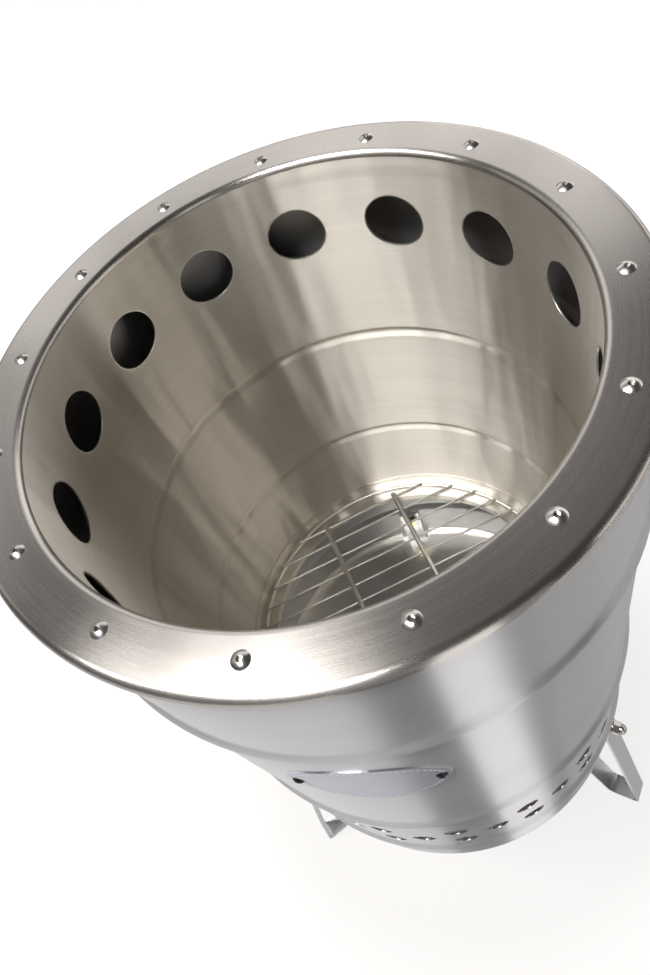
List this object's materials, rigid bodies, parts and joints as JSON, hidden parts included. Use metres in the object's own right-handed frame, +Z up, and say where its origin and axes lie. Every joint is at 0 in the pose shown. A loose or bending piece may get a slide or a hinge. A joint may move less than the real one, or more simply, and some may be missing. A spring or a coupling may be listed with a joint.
{
  "type": "fire barrel",
  "caption": "Tall double-walled steel fire barrel with a flanged riveted rim, burner ports, low air vents, an oval badge, a lift-out wire grate and bent strip legs.",
  "frame": {"origin": "on the barrel's axis at ground level, midway between the three toes", "axes": "+Z up along the barrel's axis; -Y is the front, where the badge sits a little to the left; +X to the right"},
  "size_m": [0.4428, 0.4494, 0.8217],
  "materials": {
    "brushed_rim": "brushed round the ring",
    "brushed_shell": "brushed round the shell",
    "satin_liner": "satin mill finish",
    "polished_steel": "polished",
    "wire": "bright drawn wire",
    "leg_strip": "brushed along the strip",
    "yellow_zinc": "yellow-passivated zinc",
    "badge_plate": "satin, bare",
    "dark_screw": "oiled"
  },
  "bodies": {
    "barrel": {"rim": "brushed_rim", "rim_rivets": "polished_steel", "shell": "brushed_shell", "liner": "satin_liner", "liner_spacers": "satin_liner", "grate_ledge": "satin_liner", "ledge_cove": "satin_liner", "base_plate": "satin_liner", "leg_right": "leg_strip", "leg_back": "leg_strip", "leg_left": "leg_strip", "leg_bolts": "yellow_zinc", "leg_washers": "polished_steel", "leg_cap_nuts": "polished_steel", "badge": "badge_plate", "badge_screws": "dark_screw", "badge_nuts": "polished_steel"},
    "grate": {"grate_ring": "wire", "grate_wires": "wire", "grate_cross_bars": "wire"}
  },
  "joints": [
    {"name": "grate_lift", "type": "slide", "parent": "barrel", "child": "grate", "axis": [0, 0, 1], "range_m": [0, 0.43]}
  ]
}
